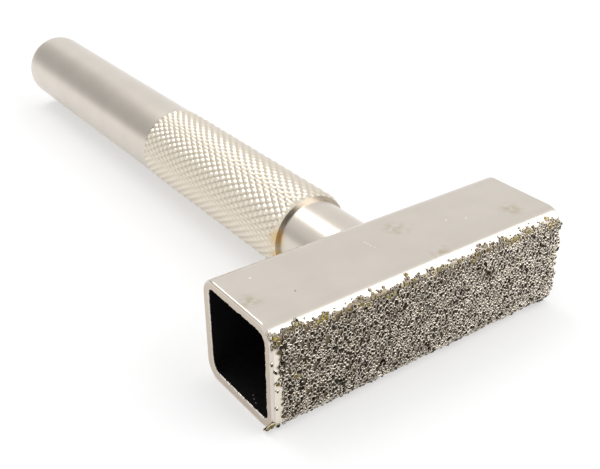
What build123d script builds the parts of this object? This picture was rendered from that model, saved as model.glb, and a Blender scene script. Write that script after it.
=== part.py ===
from build123d import *
import math
import os

# T-shaped diamond dresser, millimetres. The head lies along X on the XY plane, with its
# coated face towards -Y and the handle leaving its back wall along +Y. The origin is the
# centre of the head's underside.

# Head: a length of drawn square steel tube, open at both ends
head_length = 45.0
head_height = 14.0
head_depth = 14.0
wall = 1.2
corner_radius = 2.3
rim_radius = 0.3

# Handle: one turned rod, from the head outwards
neck_diameter = 10.6
neck_length = 9.95
shoulder_diameter = 11.64
knurl_diameter = 12.4
knurl_length = 37.8
knurl_lead_in = 0.4
knurl_run_out = 0.2
rod_diameter = 12.0
rod_length = 50.8
rod_end_radius = 0.8

# Riveted joint: the handle's spigot passes through the back wall and is peened over inside.
# The peened head keeps a margin on the flat between the bore's rounded corners.
rivet_margin = 0.3
rivet_upset = 0.9
rivet_edge = 0.4
rivet_crown = 0.8
spigot_clearance = 0.05

# Diamond coat: a plated skin over the front wall and part of its two rounded corners.
# At the top it ends at an angle from straight up, and at the bottom just above the base.
coat_thickness = 0.4
coat_top_angle = 50.0
coat_base_clearance = 0.1
coat_end_margin = 0.3

# Places that follow from the sizes above
handle_height = head_height / 2
back_face = head_depth / 2
back_bore_face = back_face - wall
bore_flat = head_height - 2 * corner_radius
rivet_radius = bore_flat / 2 - rivet_margin
spigot_radius = rivet_radius - rivet_upset

tube_section = Plane(origin=(0, 0, head_height / 2), x_dir=(0, 1, 0), z_dir=(1, 0, 0))
handle_section = Plane.XY.offset(handle_height)
handle_axis = Axis((0, 0, handle_height), (0, 1, 0))
handle_seat = Plane(origin=(0, back_face, handle_height), x_dir=(1, 0, 0), z_dir=(0, 1, 0))


# Head tube: the outside with its deburred ends, then the bore and the rivet hole
with BuildPart() as head_tube:
    with BuildSketch(tube_section):
        RectangleRounded(head_depth, head_height, corner_radius)
    extrude(amount=head_length / 2, both=True)
    sawn_ends = head_tube.faces().filter_by(Axis.X)
    fillet(sawn_ends.edges(), rim_radius)
    with BuildSketch(tube_section):
        RectangleRounded(head_depth - 2 * wall, head_height - 2 * wall, corner_radius - wall)
    extrude(amount=head_length / 2, both=True, mode=Mode.SUBTRACT)
    with Locations(handle_seat):
        Hole(spigot_radius + spigot_clearance, depth=wall)


# Handle: half its outline, as radius and distance along Y, turned about the handle's axis
neck_radius = neck_diameter / 2
shoulder_radius = shoulder_diameter / 2
knurl_radius = knurl_diameter / 2
rod_radius = rod_diameter / 2
shoulder_face = back_face + neck_length
knurl_front = shoulder_face + knurl_lead_in
knurl_end = shoulder_face + knurl_length
knurl_back = knurl_end - knurl_run_out
rod_end = knurl_end + rod_length
rod_end_start = rod_end - rod_end_radius
crown_start = back_bore_face - rivet_edge
crown_top = crown_start - rivet_crown

with BuildPart() as handle:
    with BuildSketch(handle_section):
        with BuildLine():
            TangentArc((0, crown_top), (rivet_radius, crown_start), tangent=(1, 0))
            Polyline(
                (rivet_radius, crown_start),
                (rivet_radius, back_bore_face),
                (spigot_radius, back_bore_face),
                (spigot_radius, back_face),
                (neck_radius, back_face),
                (neck_radius, shoulder_face),
                (shoulder_radius, shoulder_face),
                (knurl_radius, knurl_front),
                (knurl_radius, knurl_back),
                (rod_radius, knurl_end),
                (rod_radius, rod_end_start),
            )
            TangentArc((rod_radius, rod_end_start), (rod_radius - rod_end_radius, rod_end), tangent=(0, 1))
            Polyline((rod_radius - rod_end_radius, rod_end), (0, rod_end), (0, crown_top))
        make_face()
    revolve(axis=handle_axis)


# Diamond coat: its section follows the tube's front wall and corners, one thickness proud.
# Angles run from +Y through +Z, so straight up is 90, the front wall 180 and straight down 270.
coat_radius = corner_radius + coat_thickness
base_drop = (corner_radius - coat_base_clearance) / coat_radius
coat_bottom_angle = math.degrees(math.asin(base_drop))
coat_start = 90 + coat_top_angle
top_wrap = 90 - coat_top_angle
corner_y = corner_radius - head_depth / 2
corner_z = head_height / 2 - corner_radius

with BuildPart() as diamond_coat:
    with BuildSketch(tube_section):
        with BuildLine():
            inner_top = CenterArc((corner_y, corner_z), corner_radius, coat_start, top_wrap)
            inner_bottom = CenterArc((corner_y, -corner_z), corner_radius, 180, coat_bottom_angle)
            outer_top = CenterArc((corner_y, corner_z), coat_radius, coat_start, top_wrap)
            outer_bottom = CenterArc((corner_y, -corner_z), coat_radius, 180, coat_bottom_angle)
            Line(inner_top @ 1, inner_bottom @ 0)
            Line(outer_top @ 1, outer_bottom @ 0)
            Line(inner_top @ 0, outer_top @ 0)
            Line(inner_bottom @ 1, outer_bottom @ 1)
        make_face()
    extrude(amount=head_length / 2 - coat_end_margin, both=True)


head_tube.part.label = "head_tube"
handle.part.label = "handle"
diamond_coat.part.label = "diamond_coat"

os.makedirs("parts", exist_ok=True)
export_step(head_tube.part, "parts/head_tube.step")
export_step(handle.part, "parts/handle.step")
export_step(diamond_coat.part, "parts/diamond_coat.step")
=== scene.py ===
import math

import bpy
import numpy as np
from mathutils import Matrix, Vector


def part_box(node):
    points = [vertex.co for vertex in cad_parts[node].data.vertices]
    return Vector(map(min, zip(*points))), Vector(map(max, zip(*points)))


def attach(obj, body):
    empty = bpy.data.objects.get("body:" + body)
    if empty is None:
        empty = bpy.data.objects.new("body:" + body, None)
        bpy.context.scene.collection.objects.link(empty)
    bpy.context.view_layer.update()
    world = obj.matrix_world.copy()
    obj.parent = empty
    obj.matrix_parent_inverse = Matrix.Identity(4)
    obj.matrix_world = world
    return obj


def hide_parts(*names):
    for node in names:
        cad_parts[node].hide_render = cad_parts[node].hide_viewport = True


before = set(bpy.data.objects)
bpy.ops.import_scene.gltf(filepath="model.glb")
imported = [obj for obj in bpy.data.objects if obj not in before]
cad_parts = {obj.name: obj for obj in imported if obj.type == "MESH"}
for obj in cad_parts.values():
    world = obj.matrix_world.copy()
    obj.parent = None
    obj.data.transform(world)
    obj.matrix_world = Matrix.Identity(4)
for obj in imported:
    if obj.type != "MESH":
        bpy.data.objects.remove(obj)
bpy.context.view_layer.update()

# Lengths below are millimetres, and a piece's points become metres when its mesh is made
MM = 0.001
tube_low, tube_high = (np.array(corner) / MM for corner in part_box("head_tube"))
handle_low, handle_high = (np.array(corner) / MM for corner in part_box("handle"))

# Head: drawn square tube
head_length = tube_high[0] - tube_low[0]
head_height = tube_high[2] - tube_low[2]
head_depth = tube_high[1] - tube_low[1]
head_end = head_length / 2
back_face = tube_high[1]
wall = 1.2
corner_radius = 2.3
rim_radius = 0.3
bore_edge_radius = 0.2

# Handle: one turned rod, riveted into the tube's back wall
handle_height = (handle_low[2] + handle_high[2]) / 2
knurl_radius = (handle_high[2] - handle_low[2]) / 2
crown_top = handle_low[1]
rod_end = handle_high[1]
neck_radius = 5.3
shoulder_place = 16.95
shoulder_radius = 5.82
knurl_lead_in = 0.4
knurl_end = 54.75
rod_radius = 6.0
rod_end_radius = 0.8
rivet_radius = 4.4
spigot_radius = 3.5
rivet_edge = 0.4

# Knurl: two helical cuts that cross, counted round the rod, with their pitch along it
knurl_teeth = 37
knurl_axial_pitch = 1.83
knurl_depth = 0.18
knurl_steps = 6

# Diamond coat: where it starts from straight up, where it ends, and the size of its grit
coat_top_angle = math.radians(50)
coat_base_clearance = 0.1
coat_thickness = 0.4
coat_end_margin = 0.3
grit_spacing = 0.55
grit_radius = 0.25
bond_thickness = 0.1
collar_height = 0.2
collar_columns = 7


def srgb(code):
    """A hex colour, as a screen shows it, turned to linear red, green, blue and 1."""
    parts = np.array([int(code[k : k + 2], 16) for k in (0, 2, 4)]) / 255
    linear = np.where(parts <= 0.04045, parts / 12.92, ((parts + 0.055) / 1.055) ** 2.4)
    return (*linear.tolist(), 1.0)


def add_node(tree, kind, settings=(), sockets=(), links=()):
    """Adds a node, sets its properties and its sockets by name, and links its inputs by name."""
    made = tree.nodes.new(kind)
    for name, value in dict(settings).items():
        setattr(made, name, value)
    inputs = {socket.name: socket for socket in reversed(made.inputs) if socket.enabled}
    for name, value in dict(sockets).items():
        inputs[name].default_value = value
    for name, source in dict(links).items():
        if isinstance(source, bpy.types.Node):
            source = next(socket for socket in source.outputs if socket.enabled)
        tree.links.new(source, inputs[name])
    return made


def new_material(name):
    """An empty node material with its output, and the tree to fill."""
    made = bpy.data.materials.new(name)
    made.use_nodes = True
    made.node_tree.nodes.clear()
    return made, made.node_tree


def finish_material(tree, shader):
    """Links the last shader to the material's output."""
    add_node(tree, "ShaderNodeOutputMaterial", links={"Surface": shader})


def per(size):
    """The texture scale at which one feature is this many millimetres across."""
    return 1 / (size * MM)


def uneven(tree, size, detail=2.0, low=0.35, high=0.65, source=None):
    """A cloudy pattern of this size from Object coordinates, stretched to run from 0 to 1."""
    if source is None:
        source = add_node(tree, "ShaderNodeTexCoord").outputs["Object"]
    cloud = add_node(tree, "ShaderNodeTexNoise",
                     sockets={"Scale": per(size), "Detail": detail}, links={"Vector": source})
    return add_node(tree, "ShaderNodeMapRange", sockets={"From Min": low, "From Max": high},
                    links={"Value": cloud.outputs["Fac"]})


def blend_colours(tree, factor, first, second, mode="MIX"):
    """Colour first where factor is 0 and colour second where it is 1; each is a hex or a node."""
    sockets, links = {}, {}
    for name, value in (("Factor", factor), ("A", first), ("B", second)):
        if isinstance(value, str):
            sockets[name] = srgb(value)
        elif isinstance(value, float):
            sockets[name] = value
        else:
            links[name] = value
    return add_node(tree, "ShaderNodeMix", {"data_type": "RGBA", "blend_type": mode}, sockets, links)


def spot(tree, centre, radius, softness=0.5):
    """1 at a place on the object, falling to 0 at this radius, with an edge of this softness."""
    place = add_node(tree, "ShaderNodeTexCoord").outputs["Object"]
    away = add_node(tree, "ShaderNodeVectorMath", {"operation": "DISTANCE"},
                    links={"Vector": place})
    away.inputs[1].default_value = [part * MM for part in centre]
    return add_node(tree, "ShaderNodeMapRange", {"interpolation_type": "SMOOTHSTEP"},
                    {"From Min": radius * MM, "From Max": radius * (1 - softness) * MM},
                    {"Value": away.outputs["Value"]})


def multiply(tree, first, second):
    """The product of two values."""
    made = add_node(tree, "ShaderNodeMath", {"operation": "MULTIPLY"})
    for socket, value in zip(made.inputs, (first, second)):
        if isinstance(value, float):
            socket.default_value = value
        else:
            tree.links.new(next(s for s in value.outputs if s.enabled), socket)
    return made


# Nickel plated on drawn steel tube: a satin, warm grey mirror with a few yellowed water stains
def plated_tube_finish():
    made, tree = new_material("nickel_plated_drawn_steel")
    mottle = uneven(tree, 5.0)
    colour = blend_colours(tree, mottle, "D3CBC1", "D7CFC5")
    broken = uneven(tree, 0.8, 3.0, 0.4, 0.6)
    stains = ((-21.1, -0.9, 2.0), (2.2, 1.9, 2.4), (2.9, -5.3, 1.9), (17.4, -2.9, 2.2))
    for x, y, radius in stains:
        stain = multiply(tree, spot(tree, (x, y, head_height), radius, 0.9), broken)
        colour = blend_colours(tree, multiply(tree, stain, 0.6), colour, "B7A88A")
    specks = ((-18.5, 3.0, 0.18, "FFFBF4"), (8.7, -0.1, 0.15, "FFFBF4"), (11.1, -1.2, 0.15, "FFFBF4"),
              (-15.9, -2.2, 0.14, "6A5E50"), (-3.0, 1.6, 0.12, "FFFBF4"), (-2.95, 1.1, 0.11, "FFFBF4"),
              (-2.9, 0.6, 0.12, "FFFBF4"), (-2.8, 0.0, 0.1, "FFFBF4"))
    for x, y, radius, code in specks:
        colour = blend_colours(tree, spot(tree, (x, y, head_height), radius, 0.6), colour, code)
    grain = uneven(tree, 0.25, 4.0, 0.2, 0.8)
    bump = add_node(tree, "ShaderNodeBump", sockets={"Strength": 0.05, "Distance": 0.05 * MM},
                    links={"Height": grain})
    sawn = add_node(tree, "ShaderNodeAttribute", {"attribute_name": "sawn"})
    colour = blend_colours(tree, sawn.outputs["Fac"], colour, "C9BDAE")
    roughness = add_node(tree, "ShaderNodeMapRange", sockets={"To Min": 0.24, "To Max": 0.4},
                         links={"Value": sawn.outputs["Fac"]})
    shader = add_node(tree, "ShaderNodeBsdfPrincipled", sockets={"Metallic": 1.0},
                      links={"Base Color": colour, "Normal": bump, "Roughness": roughness})
    finish_material(tree, shader)
    return made


# Mill scale left in the bore, where plating does not reach: matt and nearly black
def bore_finish():
    made, tree = new_material("black_mill_scale")
    colour = blend_colours(tree, uneven(tree, 0.6), "0B0A0C", "151213")
    # Painted sheen: four light spots in a diagonal row on the bore's floor just inside the near end
    for x, y in ((-21.25, -1.1), (-21.55, -1.75), (-21.75, -2.45), (-22.25, -3.5)):
        colour = blend_colours(tree, spot(tree, (x, y, wall), 0.13, 0.6), colour, "8A8078")
    shader = add_node(tree, "ShaderNodeBsdfPrincipled",
                      sockets={"Metallic": 0.0, "Roughness": 0.65, "Specular IOR Level": 0.15},
                      links={"Base Color": colour})
    finish_material(tree, shader)
    return made


# Nickel plated on turned steel: fine rings from the tool under the plate, satin where knurled, with painted light on
# the knurl and a painted warm reflection on the shoulder
def turned_finish():
    made, tree = new_material("nickel_plated_turned_steel")
    place = add_node(tree, "ShaderNodeTexCoord").outputs["Object"]
    stretched = add_node(tree, "ShaderNodeMapping", sockets={"Scale": (0.1, 6.0, 0.1)},
                         links={"Vector": place})
    rings = uneven(tree, 0.8, 3.0, 0.2, 0.8, stretched.outputs["Vector"])
    bump = add_node(tree, "ShaderNodeBump", sockets={"Strength": 0.06, "Distance": 0.03 * MM},
                    links={"Height": rings})
    plate = blend_colours(tree, uneven(tree, 6.0), "D3CBC0", "D8D0C5")
    depth = add_node(tree, "ShaderNodeAttribute", {"attribute_name": "cut_depth"})
    # Painted light on the knurl: lighter than the plain plate on its crests, with painted shade in its grooves
    knurl_painted_light = blend_colours(tree, depth.outputs["Fac"], "F2EADF", "D6CBB8")
    knurled = add_node(tree, "ShaderNodeAttribute", {"attribute_name": "knurled"})
    colour = blend_colours(tree, knurled.outputs["Fac"], plate, knurl_painted_light)
    # Painted reflection: two warm golden spots on the shoulder, on its side towards -X
    for z in (5.4, 8.4):
        painted_warm_reflection = spot(tree, (-5.5, shoulder_place, z), 1.9, 0.9)
        colour = blend_colours(tree, painted_warm_reflection, colour, "D8C095")
    roughness = add_node(tree, "ShaderNodeMapRange", sockets={"To Min": 0.28, "To Max": 0.3},
                         links={"Value": knurled.outputs["Fac"]})
    shader = add_node(tree, "ShaderNodeBsdfPrincipled", sockets={"Metallic": 1.0},
                      links={"Base Color": colour, "Normal": bump, "Roughness": roughness})
    finish_material(tree, shader)
    return made


# Electroplated nickel that grips the grit: near white with a painted highlight on its crests, dark with painted shade
# below them, and bright on the bare strip beside the near rim
def bond_finish():
    made, tree = new_material("electroplated_nickel_bond")
    painted_light_and_wear = add_node(tree, "ShaderNodeAttribute", {"attribute_name": "painted_light_and_wear"})
    # Painted shade: the dark brown given to the nickel low between the grains
    low = blend_colours(tree, uneven(tree, 1.8), "3C3020", "665843")
    tone_and_edge_light = add_node(tree, "ShaderNodeAttribute", {"attribute_name": "tone_and_edge_light"})
    olive = add_node(tree, "ShaderNodeMapRange", sockets={"From Min": 0.75, "To Max": 0.8},
                     links={"Value": tone_and_edge_light.outputs["Fac"]})
    # Painted highlight: the near-white crest colour, olive beside the yellowest grains
    bright = blend_colours(tree, olive, "F3EADC", "C4B578")
    colour = blend_colours(tree, painted_light_and_wear.outputs["Fac"], low, bright)
    nodules = uneven(tree, 0.09, 2.0, 0.3, 0.7)
    bump = add_node(tree, "ShaderNodeBump", sockets={"Strength": 0.2, "Distance": 0.02 * MM},
                    links={"Height": nodules})
    shader = add_node(tree, "ShaderNodeBsdfPrincipled",
                      sockets={"Metallic": 1.0, "Roughness": 0.22},
                      links={"Base Color": colour, "Normal": bump})
    finish_material(tree, shader)
    return made


# Synthetic diamond grit: dark olive crystals with glossy faces, painted yellower near the coat's top edge where light
# gets into them
def grit_finish():
    made, tree = new_material("synthetic_diamond_grit")
    tone_and_edge_light = add_node(tree, "ShaderNodeAttribute", {"attribute_name": "tone_and_edge_light"})
    ramp = add_node(tree, "ShaderNodeValToRGB", links={"Fac": tone_and_edge_light.outputs["Fac"]})
    stops = ((0.0, "0F0C08"), (0.45, "2E2718"), (0.7, "6B5424"), (0.86, "8B7D33"), (1.0, "B5A85C"))
    for number, (where, code) in enumerate(stops):
        last = len(ramp.color_ramp.elements)
        stop = ramp.color_ramp.elements[number] if number < last else ramp.color_ramp.elements.new(where)
        stop.position = where
        stop.color = srgb(code)
    shader = add_node(tree, "ShaderNodeBsdfPrincipled",
                      sockets={"Metallic": 0.0, "Roughness": 0.15, "Specular IOR Level": 0.3,
                               "Specular Tint": srgb("D8C49C")},
                      links={"Base Color": ramp.outputs["Color"]})
    finish_material(tree, shader)
    return made


# Matt white table: lit like paper, and filled to white for what looks at it directly
def table_finish():
    made, tree = new_material("white_table")
    rays = add_node(tree, "ShaderNodeLightPath")
    seen = add_node(tree, "ShaderNodeMath", {"operation": "MAXIMUM"},
                    links={"Value": rays.outputs["Is Camera Ray"]})
    tree.links.new(rays.outputs["Is Glossy Ray"], seen.inputs[1])
    paper = add_node(tree, "ShaderNodeBsdfDiffuse", sockets={"Color": srgb("C4C4C4")})
    glow = add_node(tree, "ShaderNodeEmission", sockets={"Color": srgb("FFFFFF")},
                    links={"Strength": multiply(tree, seen, 0.44)})
    both = add_node(tree, "ShaderNodeAddShader")
    tree.links.new(paper.outputs[0], both.inputs[0])
    tree.links.new(glow.outputs[0], both.inputs[1])
    finish_material(tree, both)
    return made


def add_mesh(name, points, face_sets, materials, face_materials=None, sharp_angle=None):
    """A mesh object from points in millimetres and arrays of faces, one array for each corner count."""
    corners = np.concatenate([faces.ravel() for faces in face_sets])
    sizes = np.concatenate([np.full(len(faces), faces.shape[1]) for faces in face_sets])
    mesh = bpy.data.meshes.new(name)
    mesh.vertices.add(len(points))
    mesh.vertices.foreach_set("co", (points * MM).astype(np.float32).ravel())
    mesh.loops.add(len(corners))
    mesh.loops.foreach_set("vertex_index", corners.astype(np.int32))
    mesh.polygons.add(len(sizes))
    mesh.polygons.foreach_set("loop_start", (np.cumsum(sizes) - sizes).astype(np.int32))
    for material in materials:
        mesh.materials.append(material)
    if face_materials is not None:
        mesh.polygons.foreach_set("material_index", face_materials.astype(np.int32))
    mesh.update(calc_edges=True)
    mesh.validate()
    if sharp_angle is None:
        mesh.polygons.foreach_set("use_smooth", np.zeros(len(sizes), bool))
    else:
        mesh.polygons.foreach_set("use_smooth", np.ones(len(sizes), bool))
        mesh.set_sharp_from_angle(angle=math.radians(sharp_angle))
    made = bpy.data.objects.new(name, mesh)
    bpy.context.scene.collection.objects.link(made)
    return made


def add_attribute(piece, name, values):
    """Keeps one number per point with the mesh, for its material to read."""
    kept = piece.data.attributes.new(name, "FLOAT", "POINT")
    kept.data.foreach_set("value", values.astype(np.float32))


def grid_quads(rows, columns, wrap_rows=False, wrap_columns=False):
    """Quads between neighbours of a grid numbered row by row."""
    row, column = np.meshgrid(np.arange(rows if wrap_rows else rows - 1),
                              np.arange(columns if wrap_columns else columns - 1), indexing="ij")
    above = (row + 1) % rows
    beside = (column + 1) % columns
    quads = (row * columns + column, row * columns + beside,
             above * columns + beside, above * columns + column)
    return np.stack(quads, -1).reshape(-1, 4)


def waves(position, lengths, height, seed):
    """A rough line: sine waves of these wavelengths along a position, at random phases."""
    draw = np.random.default_rng(seed)
    total = np.zeros_like(position)
    for length in lengths:
        total += np.sin(2 * np.pi * position / length + draw.uniform(0, 2 * np.pi))
    return height * total / math.sqrt(len(lengths))


def half_flat():
    """Half the length of one flat side of the tube, between its corners."""
    return head_height / 2 - corner_radius


def rounded_square(flat_steps, corner_steps):
    """Core points and outward normals round the tube's section, as (Y, Z) pairs.

    The outline is a smaller square pushed out by the corner radius along its normals. The core
    point runs along a flat while the normal stands still, then waits at the corner while the
    normal turns a quarter.
    """
    half = half_flat()
    run = np.concatenate([np.linspace(-half, half, flat_steps, endpoint=False),
                          np.full(corner_steps, half)])
    turn = np.concatenate([np.zeros(flat_steps),
                           np.linspace(0, np.pi / 2, corner_steps, endpoint=False)])
    side = np.arange(4)[:, None] * np.pi / 2
    facing = np.stack([np.cos(side), np.sin(side)], -1)
    along = np.stack([-np.sin(side), np.cos(side)], -1)
    core = (half * facing + run[None, :, None] * along).reshape(-1, 2)
    angle = (side + turn[None]).ravel()
    return core, np.stack([np.cos(angle), np.sin(angle)], -1)


def wall_section():
    """The loop through the tube's wall, as distance along X and inset from the outside.

    It runs along the outside, round the rim's quarter circle, across the sawn end, round the
    bore's edge, back along the bore and round the other end.
    """
    quarter = np.linspace(0, np.pi / 2, 7)
    rim_x = head_end - rim_radius * (1 - np.sin(quarter))
    rim_inset = rim_radius * (1 - np.cos(quarter))
    face_inset = np.linspace(rim_radius, wall - bore_edge_radius, 8)[1:-1]
    edge_x = head_end - bore_edge_radius * (1 - np.cos(quarter))
    edge_inset = wall - bore_edge_radius * (1 - np.sin(quarter))
    mouth_x = head_end - bore_edge_radius - np.geomspace(0.06, 6.0, 14)
    end_x = np.concatenate([rim_x, np.full(len(face_inset), head_end), edge_x, mouth_x])
    end_inset = np.concatenate([rim_inset, face_inset, edge_inset, np.full(len(mouth_x), wall)])
    side_x = np.linspace(-head_end + 0.8, head_end - 0.8, 40)
    x = np.concatenate([side_x, end_x, -end_x[::-1]])
    inset = np.concatenate([np.zeros(len(side_x)), end_inset, end_inset[::-1]])
    return x, inset


def make_tube(plated, black):
    """The head's tube: its rounded-square outline carried round the section of its wall."""
    core, normal = rounded_square(70, 36)
    x, inset = wall_section()
    steps = np.linalg.norm(np.diff(np.vstack([core + normal, core[:1] + normal[:1]]), axis=0), axis=1)
    round_way = np.cumsum(steps) - steps[0]
    perimeter = steps.sum()
    from_end = head_end - np.abs(x)
    inner = np.clip(inset / wall, 0, 1)
    ragged = waves(round_way, perimeter / np.array([9, 17, 31, 53, 88]), 0.06, 3)
    nodules = np.maximum(waves(round_way, perimeter / np.array([67, 113, 149]), 1.0, 5) - 0.9, 0) * 0.16
    reach = np.exp(-from_end / 0.5) * inner ** 3
    corner_way = perimeter * (np.arange(4) + 1) / 4 - (perimeter / 4 - 2 * half_flat()) / 2
    away = np.abs(round_way[None] - corner_way[:, None])
    away = np.minimum(away, perimeter - away)
    filled = (np.array([-0.2, 0.12, -0.15, 0.4])[:, None] * np.exp(-((away / 0.9) ** 2))).sum(0)
    depth = inset[:, None] + reach[:, None] * (ragged + nodules + filled)[None]
    end_wobble = waves(round_way, perimeter / np.array([5, 11, 23]), 0.03, 8)
    on_end = np.exp(-from_end / 0.1) * inner
    along = x[:, None] - np.sign(x)[:, None] * on_end[:, None] * np.abs(end_wobble)[None]
    section = core[None] + (corner_radius - depth)[..., None] * normal[None]
    points = np.concatenate([along[..., None], section], -1)
    points[..., 1] += back_face - head_depth / 2
    points[..., 2] += head_height / 2
    quads = grid_quads(len(x), len(core), True, True)
    in_bore = (inset >= wall - 1e-6) & (from_end > bore_edge_radius)
    rows = np.repeat(np.arange(len(x)), len(core))
    dark = in_bore[rows] & in_bore[(rows + 1) % len(x)]
    piece = add_mesh("plated_tube", points.reshape(-1, 3), [quads], [plated, black], dark, 30)
    sawn = (from_end < 0.02) & (inset > rim_radius - 1e-6)
    add_attribute(piece, "sawn", np.repeat(sawn, len(core)))
    return piece


def knurl_relief(around, along):
    """How deep the two crossing helical cuts are, from 0 on a crest to 1 in a groove.

    Each cut is a triangle wave of a phase that grows both round the rod and along it, once with
    each hand of helix. The deeper of the two cuts counts. Half of it is bent to a cosine, which
    rounds the crests and the grooves as plating does.
    """
    deepest = np.zeros_like(around)
    for hand in (1, -1):
        phase = around + hand * along
        deepest = np.maximum(deepest, 1 - 2 * np.abs(phase - np.rint(phase)))
    return 0.5 * deepest + 0.25 * (1 - np.cos(np.pi * deepest))


def make_handle(turned):
    """The turned handle: rings of its outline, with a diamond lattice of points on the knurl.

    The lattice keeps every second point of a grid, so that its edges run along both helices and
    each groove and crest of the knurl lies on an edge.
    """
    columns = 2 * knurl_teeth * knurl_steps
    ring_columns = columns // 2
    knurl_start = shoulder_place + 0.03
    row_step = knurl_axial_pitch / (2 * knurl_steps)
    rows = 2 * int(round((knurl_end - 0.04 - knurl_start) / row_step / 2))

    quarter = np.linspace(0, np.pi / 2, 7)
    crown_rise = back_face - wall - rivet_edge - crown_top
    crown = [(crown_top + crown_rise * (1 - math.cos(q)), rivet_radius * math.sin(q)) for q in quarter[1:]]
    front = [*crown, (back_face - wall, rivet_radius), (back_face - wall, spigot_radius),
             (back_face, spigot_radius), (back_face, neck_radius)]
    front += [(y, neck_radius) for y in np.linspace(back_face + 0.1, shoulder_place, 20)]
    front += [(shoulder_place, shoulder_radius)]
    back = [(y, rod_radius) for y in np.linspace(knurl_end, rod_end - rod_end_radius, 30)]
    back += [(rod_end - rod_end_radius * (1 - math.sin(q)), rod_radius - rod_end_radius * (1 - math.cos(q)))
             for q in quarter[1:]]
    back += [(rod_end, radius) for radius in (4.0, 2.0)]

    def rings(outline):
        y, radius = np.array(outline).T
        angle = 2 * np.pi * np.arange(ring_columns) / ring_columns
        side, up = radius[:, None] * np.sin(angle), radius[:, None] * np.cos(angle)
        return np.stack([-side, np.broadcast_to(y[:, None], side.shape), up + handle_height], -1)

    row, column = np.meshgrid(np.arange(rows + 1), np.arange(columns), indexing="ij")
    kept = (row + column) % 2 == 0
    row, column = row[kept], column[kept]
    y = knurl_start + row * (knurl_end - 0.04 - knurl_start) / rows
    relief = knurl_relief(column / (2 * knurl_steps), row / (2 * knurl_steps))
    slope = (knurl_radius - shoulder_radius) / knurl_lead_in
    lead_in = np.minimum(shoulder_radius + (y - shoulder_place) * slope, rod_radius + (knurl_end - y))
    cut = knurl_depth * relief * np.clip((y - shoulder_place) / 0.3, 0, 1)
    crest = np.maximum(np.minimum(knurl_radius, lead_in) - cut, shoulder_radius)
    angle = 2 * np.pi * column / columns
    lattice = np.stack([-crest * np.sin(angle), y, crest * np.cos(angle) + handle_height], -1)

    def number(r, c):
        """The point at this row and column: each row holds half the columns."""
        return r * ring_columns + (c % columns) // 2

    low = row + 2 <= rows
    r, c = row[low], column[low]
    diamonds = np.stack([number(r, c), number(r + 1, c + 1), number(r + 2, c), number(r + 1, c - 1)], -1)
    even = np.arange(0, columns, 2)
    first = np.stack([number(0, even), number(0, even + 2), number(1, even + 1)], -1)
    final = np.stack([number(rows, even), number(rows - 1, even + 1), number(rows, even + 2)], -1)

    front_points, back_points = rings(front), rings(back)
    start = len(front) * ring_columns
    finish = start + len(lattice)
    total = finish + len(back) * ring_columns
    beside = (np.arange(ring_columns) + 1) % ring_columns
    here = np.arange(ring_columns)
    last_front = start - ring_columns
    last_row = start + rows * ring_columns
    bridge_in = np.stack([last_front + here, last_front + beside, start + beside, start + here], -1)
    bridge_out = np.stack([last_row + here, last_row + beside, finish + beside, finish + here], -1)
    crown_cap = np.stack([np.full(ring_columns, total), beside, here], -1)
    last_back = total - ring_columns
    end_cap = np.stack([last_back + here, last_back + beside, np.full(ring_columns, total + 1)], -1)
    poles = np.array([[0, crown_top, handle_height], [0, rod_end, handle_height]])
    points = np.vstack([front_points.reshape(-1, 3), lattice, back_points.reshape(-1, 3), poles])
    quads = np.vstack([grid_quads(len(front), ring_columns, False, True), bridge_in, diamonds + start,
                       bridge_out, grid_quads(len(back), ring_columns, False, True) + finish])
    triangles = np.vstack([first + start, final + start, crown_cap, end_cap])
    piece = add_mesh("turned_handle", points, [quads, triangles], [turned], None, 22)
    depth = np.zeros(len(points))
    depth[start:finish] = relief
    add_attribute(piece, "cut_depth", depth)
    knurled = np.zeros(len(points))
    knurled[start:finish] = 1
    add_attribute(piece, "knurled", knurled)
    return piece


top_arc = corner_radius * (math.pi / 2 - coat_top_angle)
front_flat = head_height - 2 * corner_radius
bottom_angle = math.asin((corner_radius - coat_base_clearance) / (corner_radius + coat_thickness))
coat_width = top_arc + front_flat + corner_radius * bottom_angle


def coat_place(x, down, height):
    """A point of the coat: along X, down over the front from its top line, and proud of the tube.

    It is the tube's own outline again: the core point runs down the flat, the normal turns on the
    two corners, and the point stands off the core by the corner radius and the height.
    """
    drop = np.clip(down - top_arc, 0, front_flat)
    turn = coat_top_angle + (down - drop) / corner_radius
    reach = corner_radius + height
    y = back_face - head_depth + corner_radius - reach * np.sin(turn)
    z = head_height - corner_radius - drop + reach * np.cos(turn)
    return np.stack([x, y, z], -1)


def coat_normal(down):
    """The direction that points out of the coat at this distance down over the front."""
    drop = np.clip(down - top_arc, 0, front_flat)
    turn = coat_top_angle + (down - drop) / corner_radius
    return np.stack([np.zeros_like(turn), -np.sin(turn), np.cos(turn)], -1)


def coat_edge(x):
    """How far below its top line the coat starts: a ragged line of seeded waves along X."""
    return 0.25 + waves(x, (9.3, 3.9, 1.7), 0.22, 21)


def bare_strip(x, down):
    """1 on the strip beside the near rim where hardly any grit took, and 0 on the rest."""
    border = -head_end + 0.6 + 0.09 * down + waves(down, (5.0, 2.1, 0.9), 0.25, 23)
    return np.clip(0.5 + (border - x) / 0.3, 0, 1) * np.clip(down - 1.2, 0, 1)


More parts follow.
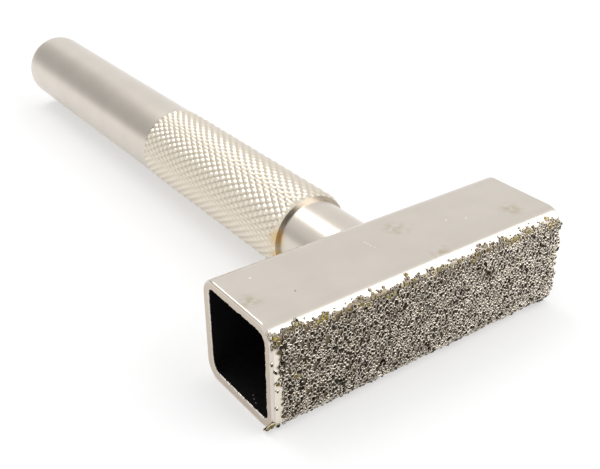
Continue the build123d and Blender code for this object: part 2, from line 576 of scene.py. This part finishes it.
def lay_grit():
    """Where each grain sits and its size: a shaken hexagonal lattice, thinned at its edges."""
    draw = np.random.default_rng(11)
    row_step = grit_spacing * math.sqrt(3) / 2
    rows = int((coat_width + 0.5) / row_step) + 1
    columns = int(head_length / grit_spacing) + 1
    row, column = np.meshgrid(np.arange(rows), np.arange(columns), indexing="ij")
    shape = row.shape
    x = -head_end + 0.15 + (column + row % 2 / 2) * grit_spacing + draw.uniform(-0.16, 0.16, shape)
    down = -0.3 + row * row_step + draw.uniform(-0.16, 0.16, shape)
    size = grit_radius * draw.uniform(0.6, 1.25, shape)
    chance = draw.uniform(0, 1, shape)
    edge = coat_edge(x)
    there = (down > edge) | ((down > edge - 0.5) & (chance < 0.15))
    there &= down < coat_width - 0.05
    there &= np.abs(x) < head_end - 0.02
    bare = bare_strip(x, down) > 0.5
    there &= np.where(bare, chance < 0.22, chance < 0.93)
    x, down, size = x[there], down[there], size[there]
    below_edge = down - coat_edge(x)
    size *= np.clip(0.72 + 0.25 * below_edge, 0.72, 1)
    tone_and_edge_light = draw.beta(1.5, 3.2, len(x)) * 0.7 + 0.3 * bare_strip(x, down)
    # Painted light: the grains near the coat's top edge are raised towards the yellow end of their colour, as where
    # light gets into them there
    yellow = np.clip(0.95 + waves(x, (6.1, 3.3, 1.9), 0.45, 31), 0, 1)
    tone_and_edge_light += 1.1 * np.clip(1.2 - below_edge / 1.3, 0, 1) * yellow * draw.uniform(0.3, 1, len(x))
    for patch_x, patch_down, reach in ((-19.2, 6.3, 0.5), (3.7, 1.9, 0.35), (-22.3, 6.0, 0.5), (-11.0, 9.0, 0.3)):
        tone_and_edge_light += 0.6 * np.exp(-(((x - patch_x) ** 2 + (down - patch_down) ** 2) / reach ** 2))
    clump = 40
    x = np.concatenate([x, -head_end + draw.uniform(-0.45, 0.4, clump)])
    down = np.concatenate([down, coat_width + draw.uniform(-1.4, 0.2, clump)])
    size = np.concatenate([size, grit_radius * draw.uniform(0.6, 0.95, clump)])
    tone_and_edge_light = np.concatenate([tone_and_edge_light, draw.uniform(0.5, 0.95, clump)])
    return x, down, size, np.clip(tone_and_edge_light, 0, 1)


def lay_nodules():
    """Places and sizes of small beads of nickel without grit, along the coat's top edge."""
    draw = np.random.default_rng(41)
    count = 170
    x = head_end * draw.uniform(-0.99, 0.98, count)
    x[::3] = -head_end + 3.5 * draw.uniform(0.03, 1, len(x[::3])) ** 2
    down = coat_edge(x) - draw.exponential(0.14, count)
    return x, down, draw.uniform(0.03, 0.09, count), np.zeros(count)


def bond_height(x, down):
    """How thick the nickel between grains is: a gently wavy floor that sinks away at its edges."""
    sides = np.minimum(coat_width - down, head_end - coat_end_margin - np.abs(x))
    taper = np.clip(np.minimum(down - coat_edge(x), sides) / 0.5, 0, 1)
    swell = 0.02 * np.sin(x * 5.1 + 1.7 * np.sin(down * 3.3)) * np.sin(down * 4.7 + 1.3 * np.sin(x * 2.9))
    return (bond_thickness + swell) * taper - 0.02


def make_bond(nickel):
    """The nickel skin: an outer sheet of worked-out thickness, closed by a plain inner sheet."""
    across, down_steps, inner_steps = 260, 90, 12
    x_line = np.linspace(-head_end + coat_end_margin, head_end - coat_end_margin, across)
    down_line = np.linspace(0, coat_width, down_steps)
    x, down = np.meshgrid(x_line, down_line, indexing="xy")
    outer = coat_place(x, down, bond_height(x, down))
    x_inner, down_inner = np.meshgrid(x_line, np.linspace(coat_width, 0, inner_steps), indexing="xy")
    inner = coat_place(x_inner, down_inner, np.full_like(x_inner, -0.04))
    rows = down_steps + inner_steps
    points = np.vstack([outer.reshape(-1, 3), inner.reshape(-1, 3)])
    quads = grid_quads(rows, across, True, False)
    rim = np.arange(rows) * across
    caps = [rim[None], (rim + across - 1)[::-1][None]]
    piece = add_mesh("nickel_bond", points, [quads, *caps], [nickel], None, 60)
    # Painted light: the low nickel grows lighter towards +X and stays darkest at the near end; the bare strip is its
    # own bright nickel
    painted_light_and_wear = np.maximum(0.15 + 0.15 * x / head_end, 0.9 * bare_strip(x, down))
    add_attribute(piece, "painted_light_and_wear", np.concatenate([painted_light_and_wear.ravel(), np.zeros(x_inner.size)]))
    return piece


def make_collars(nickel, grit):
    """The nickel that climbs round each grain: a small lathe-like ring, uneven round its way.

    Each collar is a profile of height against distance from the grain's centre, carried round in
    a few columns. Its flat top spreads to its neighbours, so that they join to a web, dips in
    under the grain, and closes in two poles. Nodules without a grain are small rings of the same.
    """
    x, down, size, tone_and_edge_light = grit
    draw = np.random.default_rng(37)
    count = len(x)
    bare = bare_strip(x, down)
    crest = collar_height * (draw.uniform(0.7, 1.15, count) * (1 - 0.5 * bare))[:, None, None]
    out = size[:, None, None] + np.array([0.09, 0.05, 0.0, -0.06])[None, :, None]
    rise = np.array([0.3, 0.85, 1.0, 0.5])[None, :, None] * crest
    angle = 2 * np.pi * np.arange(collar_columns) / collar_columns + draw.uniform(0, 6.28, (count, 1))
    uneven_out = draw.uniform(0.72, 1.28, (count, 1, collar_columns))
    uneven_rise = draw.uniform(0.75, 1.15, (count, 1, collar_columns))
    across = out * uneven_out * np.cos(angle)[:, None]
    along = out * uneven_out * np.sin(angle)[:, None]
    height = np.broadcast_to(rise * uneven_rise, across.shape)
    ground = np.maximum(bond_height(x, down), 0)
    rings = np.stack([across, along, height], -1).reshape(count, -1, 3)
    poles = np.zeros((count, 2, 3))
    poles[:, 0, 2] = -0.05
    poles[:, 1, 2] = 0.4 * collar_height
    local = np.concatenate([rings, poles], 1)
    local[..., 2] += ground[:, None]
    centre, outward = coat_place(x, down, 0.0), coat_normal(down)
    sideways = np.array([1.0, 0.0, 0.0])
    downward = np.cross(sideways, outward)
    points = centre[:, None] + local[..., :1] * sideways + local[..., 1:2] * downward[:, None]
    points += local[..., 2:] * outward[:, None]
    points[..., 2] = np.maximum(points[..., 2], 0.02)
    quads = grid_quads(4, collar_columns, False, True)
    here = np.arange(collar_columns)
    beside = (here + 1) % collar_columns
    base = np.stack([here, np.full(collar_columns, 4 * collar_columns), beside], -1)
    top = np.stack([here + 3 * collar_columns, beside + 3 * collar_columns,
                    np.full(collar_columns, 4 * collar_columns + 1)], -1)
    step = (4 * collar_columns + 2) * np.arange(count)[:, None, None]
    faces = [(shape[None] + step).reshape(-1, shape.shape[1]) for shape in (quads, np.vstack([base, top]))]
    piece = add_mesh("nickel_collars", points.reshape(-1, 3), faces, [nickel], None, 75)
    # Painted light round each collar: a bright painted highlight on its two top rings, painted shade at its foot and
    # under the grain, all lighter towards +X, with a patchy variation and the bare strip's own bright nickel
    painted_light_and_wear = np.concatenate([np.repeat([0.25, 0.9, 1.1, 0.2], collar_columns), [0.0, 0.0]])
    patchy = 0.1 * np.sin(x * 1.3 + 2 * np.sin(down * 0.9)) + 0.1 * np.sin(down * 1.7 + x * 0.4)
    painted_light_and_wear = painted_light_and_wear[None] * (0.7 + 0.13 * x / head_end + 0.06 * (x / head_end) ** 2 + patchy)[:, None]
    painted_light_and_wear = np.clip(np.maximum(painted_light_and_wear, 0.9 * bare[:, None]), 0, 1)
    add_attribute(piece, "painted_light_and_wear", painted_light_and_wear.ravel())
    add_attribute(piece, "tone_and_edge_light", np.repeat(tone_and_edge_light, 4 * collar_columns + 2))
    return piece


def crystal():
    """A cube with its corners cut to the middles of its edges: points, and triangles outwards."""
    signs = np.array([(a, b) for a in (1, -1) for b in (1, -1)], float)
    points = np.vstack([np.insert(signs, axis, 0, axis=1) for axis in range(3)]) / math.sqrt(2)
    limits = [np.array(axis, float) for axis in ((1, 0, 0), (-1, 0, 0), (0, 1, 0), (0, -1, 0), (0, 0, 1), (0, 0, -1))]
    limits += [np.array((a, b, c), float) for a in (1, -1) for b in (1, -1) for c in (1, -1)]
    triangles = []
    for out in limits:
        reach = points @ out
        ring = np.flatnonzero(reach > reach.max() - 1e-6)
        middle = points[ring].mean(0)
        first = points[ring[0]] - middle
        second = np.cross(out, first)
        arms = points[ring] - middle
        ring = ring[np.argsort(np.arctan2(arms @ second / (second @ second), arms @ first / (first @ first)))]
        triangles += [(ring[0], ring[k], ring[k + 1]) for k in range(1, len(ring) - 1)]
    return points, np.array(triangles)


def turned_at_random(count, draw):
    """One random turn for each grain, as 3 by 3 arrays, from evenly spread quaternions."""
    w, x, y, z = (lambda q: q / np.linalg.norm(q, axis=0))(draw.normal(size=(4, count)))
    rows = ((1 - 2 * (y * y + z * z), 2 * (x * y - z * w), 2 * (x * z + y * w)),
            (2 * (x * y + z * w), 1 - 2 * (x * x + z * z), 2 * (y * z - x * w)),
            (2 * (x * z - y * w), 2 * (y * z + x * w), 1 - 2 * (x * x + y * y)))
    return np.moveaxis(np.array(rows), -1, 0)


def make_grit(diamond, grit):
    """All the grains as one mesh: a cut cube, stretched, turned, and set into the nickel."""
    x, down, size, tone_and_edge_light = grit
    draw = np.random.default_rng(29)
    corners, triangles = crystal()
    count = len(x)
    stretch = draw.uniform(0.7, 1.3, (count, 1, 3))
    chipped = draw.uniform(0.9, 1.08, (count, len(corners), 1))
    shapes = corners[None] * stretch * chipped * 1.08 * size[:, None, None]
    shapes = np.einsum("nij,nkj->nki", turned_at_random(count, draw), shapes)
    lift = np.maximum(bond_height(x, down), 0) + draw.uniform(-0.04, 0.05, count)
    points = shapes + coat_place(x, down, lift)[:, None]
    points[..., 2] = np.maximum(points[..., 2], 0.02)
    faces = triangles[None] + len(corners) * np.arange(count)[:, None, None]
    piece = add_mesh("diamond_grit", points.reshape(-1, 3), [faces.reshape(-1, 3)], [diamond])
    add_attribute(piece, "tone_and_edge_light", np.repeat(tone_and_edge_light, len(corners)))
    return piece


plated, black, turned = plated_tube_finish(), bore_finish(), turned_finish()
nickel = bond_finish()
grit = lay_grit()
beads = tuple(np.concatenate(pair) for pair in zip(grit, lay_nodules()))
pieces = (
    (make_tube(plated, black), "head_tube", "plated_tube_steel"),
    (make_handle(turned), "handle", "plated_turned_steel"),
    (make_bond(nickel), "diamond_coat", "diamond_in_nickel"),
    (make_collars(nickel, beads), "diamond_coat", "diamond_in_nickel"),
    (make_grit(grit_finish(), grit), "diamond_coat", "diamond_in_nickel"),
)
for piece, node, slot in pieces:
    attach(piece, "root")
    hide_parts(node)


# Table
table_half = 1.5
bpy.ops.mesh.primitive_plane_add(size=2 * table_half)
table = bpy.context.object
table.name = "table"
table.data.materials.append(table_finish())


def aim(azimuth, elevation, distance):
    """Place and turn of a lamp that looks at the object, azimuth from +Y towards +X, in degrees."""
    a, e = math.radians(azimuth), math.radians(elevation)
    away = Vector((math.sin(a) * math.cos(e), math.cos(a) * math.cos(e), math.sin(e)))
    centre = Vector((0, 0.02, 0.007))
    return centre + away * distance, away.to_track_quat("Z", "Y")


# Lamps: two soft boxes, one high behind the handle and one high in front of the head
soft_boxes = (
    ("back_box", -8, 57, 0.6, (0.26, 0.34), 2.5),
    ("front_box", 142, 35, 0.6, (0.60, 0.38), 2.0),
)
for name, azimuth, elevation, distance, (width, height), level in soft_boxes:
    lamp = bpy.data.lights.new(name, "AREA")
    lamp.shape = "RECTANGLE"
    lamp.size, lamp.size_y = width, height
    lamp.energy = level * math.pi * width * height
    box = bpy.data.objects.new(name, lamp)
    box.location, turn = aim(azimuth, elevation, distance)
    box.rotation_mode = "QUATERNION"
    box.rotation_quaternion = turn
    bpy.context.scene.collection.objects.link(box)

# Surroundings: an even pale room, a dimmer part low at the back left, white where it is looked at
world = bpy.data.worlds.new("studio")
bpy.context.scene.world = world
world.use_nodes = True
sky = world.node_tree
sky.nodes.clear()
direction = add_node(sky, "ShaderNodeTexCoord").outputs["Generated"]


def patch(azimuth, elevation, half_width, half_height, tilt=0.0):
    """1 in the middle of an oval part of the room, falling to 0 at its edge, in degrees."""
    a, e = math.radians(azimuth), math.radians(elevation)
    facing = add_node(sky, "ShaderNodeMapping", sockets={"Rotation": (0, 0, a)}, links={"Vector": direction})
    middle = add_node(sky, "ShaderNodeMapping", sockets={"Location": (0, -math.cos(e), -math.sin(e))},
                      links={"Vector": facing.outputs["Vector"]})
    level = add_node(sky, "ShaderNodeMapping", sockets={"Rotation": (0, math.radians(tilt), 0)},
                     links={"Vector": middle.outputs["Vector"]})
    spread = (1 / math.sin(math.radians(half_width)), 0.6, 1 / math.sin(math.radians(half_height)))
    oval = add_node(sky, "ShaderNodeMapping", sockets={"Scale": spread},
                    links={"Vector": level.outputs["Vector"]})
    away = add_node(sky, "ShaderNodeVectorMath", {"operation": "LENGTH"}, links={"Vector": oval})
    return add_node(sky, "ShaderNodeMapRange", {"interpolation_type": "SMOOTHSTEP"},
                    {"From Min": 1.0, "From Max": 0.5}, {"Value": away.outputs["Value"]})


height = add_node(sky, "ShaderNodeSeparateXYZ", links={"Vector": direction})
low = add_node(sky, "ShaderNodeMapRange", {"interpolation_type": "SMOOTHSTEP"},
               {"From Min": math.sin(math.radians(14)), "From Max": 0.0}, {"Value": height.outputs["Z"]})
room = blend_colours(sky, low, "FAFAFA", "FCFCFC")
room = blend_colours(sky, patch(-24, 17, 42, 14, 26), room, "B8B8B8")
room = blend_colours(sky, patch(-151, 25, 42, 24, -54), room, "1A1512")
rays = add_node(sky, "ShaderNodeLightPath")
seen = blend_colours(sky, rays.outputs["Is Camera Ray"], room, "FFFFFF")
backdrop = add_node(sky, "ShaderNodeBackground", sockets={"Strength": 1.0}, links={"Color": seen})
add_node(sky, "ShaderNodeOutputWorld", links={"Surface": backdrop})

# Camera: place in millimetres, turn in degrees, and focal length in picture widths
camera_place = (-64.107, -71.7211, 68.9221)
camera_yaw, camera_pitch, camera_roll = (math.radians(a) for a in (35.1367, 29.4677, -0.6240))
focal_in_widths = 913.239 / 600
camera_data = bpy.data.cameras.new("camera")
camera_data.sensor_width = 36
camera_data.lens = focal_in_widths * camera_data.sensor_width
camera_data.clip_start = 0.005
camera = bpy.data.objects.new("camera", camera_data)
ahead = Vector((math.sin(camera_yaw) * math.cos(camera_pitch),
                math.cos(camera_yaw) * math.cos(camera_pitch), -math.sin(camera_pitch)))
level_right = ahead.cross(Vector((0, 0, 1))).normalized()
level_up = level_right.cross(ahead)
right = level_right * math.cos(camera_roll) + level_up * math.sin(camera_roll)
up = -level_right * math.sin(camera_roll) + level_up * math.cos(camera_roll)
turn = Matrix((right, up, -ahead)).transposed().to_4x4()
camera.matrix_world = Matrix.Translation(Vector(camera_place) * MM) @ turn
bpy.context.scene.collection.objects.link(camera)
bpy.context.scene.camera = camera
bpy.context.scene.view_settings.view_transform = "Standard"
